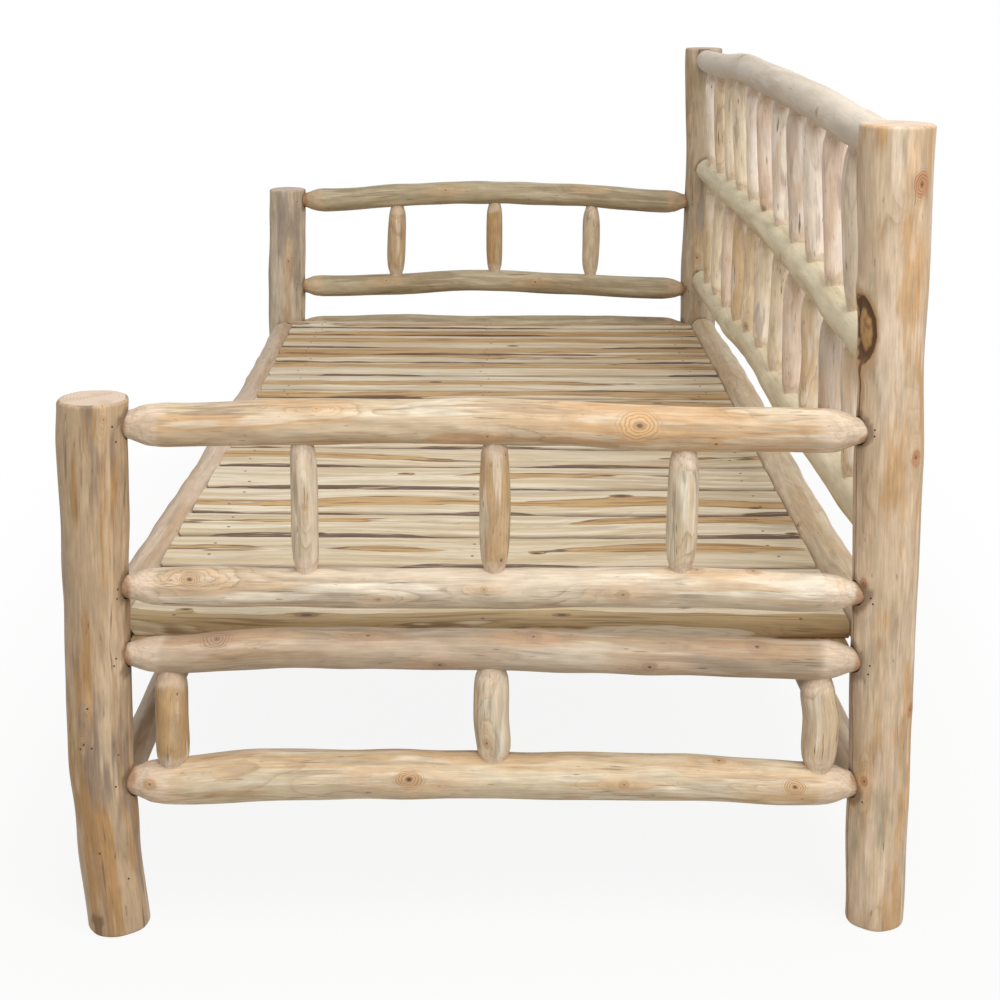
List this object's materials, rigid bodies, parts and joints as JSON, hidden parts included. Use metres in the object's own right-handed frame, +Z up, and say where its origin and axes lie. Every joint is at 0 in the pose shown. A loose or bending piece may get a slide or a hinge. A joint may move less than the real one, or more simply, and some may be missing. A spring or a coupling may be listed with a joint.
{
  "type": "rustic log daybed bench",
  "caption": "Long rustic bench of peeled teak poles: four posts, arm frames at both ends, a spindle back and a seat of crosswise slats.",
  "frame": {"origin": "on the floor, under the middle of the bench's box", "axes": "+X along the seat towards the right end as seen by someone facing the bench, +Y from the open front to the back, +Z up"},
  "size_m": [2.131, 1.0895, 1.047],
  "materials": {
    "post_wood": "peeled and sanded, bare",
    "rail_wood": "peeled and sanded, bare",
    "back_rail_wood": "peeled and sanded, slightly weathered",
    "spindle_wood": "peeled and sanded, bare",
    "slat_wood": "sawn and sanded, waney edges",
    "bearer_wood": "sawn"
  },
  "bodies": {
    "root": {"arm_rail_left": "rail_wood", "arm_rail_right": "rail_wood", "arm_spindle_left_back": "spindle_wood", "arm_spindle_left_front": "spindle_wood", "arm_spindle_left_middle": "spindle_wood", "arm_spindle_right_back": "spindle_wood", "arm_spindle_right_front": "spindle_wood", "arm_spindle_right_middle": "spindle_wood", "back_lower_rail": "back_rail_wood", "back_middle_rail": "back_rail_wood", "back_spindles_lower": "spindle_wood", "back_spindles_upper": "spindle_wood", "back_top_rail": "back_rail_wood", "end_seat_rail_left": "rail_wood", "end_seat_rail_right": "rail_wood", "end_stretcher_left": "rail_wood", "end_stretcher_right": "rail_wood", "lower_arm_rail_left": "rail_wood", "lower_arm_rail_right": "rail_wood", "lower_spindle_left_back": "spindle_wood", "lower_spindle_left_front": "spindle_wood", "lower_spindle_left_middle": "spindle_wood", "lower_spindle_right_back": "spindle_wood", "lower_spindle_right_front": "spindle_wood", "lower_spindle_right_middle": "spindle_wood", "post_back_left": "post_wood", "post_back_right": "post_wood", "post_front_left": "post_wood", "post_front_right": "post_wood", "seat_bearer_back": "bearer_wood", "seat_bearer_front": "bearer_wood", "seat_bearer_middle": "bearer_wood", "seat_rail_back": "rail_wood", "seat_rail_front": "rail_wood", "seat_slat_01": "slat_wood", "seat_slat_02": "slat_wood", "seat_slat_03": "slat_wood", "seat_slat_04": "slat_wood", "seat_slat_05": "slat_wood", "seat_slat_06": "slat_wood", "seat_slat_07": "slat_wood", "seat_slat_08": "slat_wood", "seat_slat_09": "slat_wood", "seat_slat_10": "slat_wood", "seat_slat_11": "slat_wood", "seat_slat_12": "slat_wood", "seat_slat_13": "slat_wood", "seat_slat_14": "slat_wood", "seat_slat_15": "slat_wood", "seat_slat_16": "slat_wood", "seat_slat_17": "slat_wood", "seat_slat_18": "slat_wood", "stretcher_back": "rail_wood", "stretcher_front": "rail_wood"}
  },
  "joints": []
}
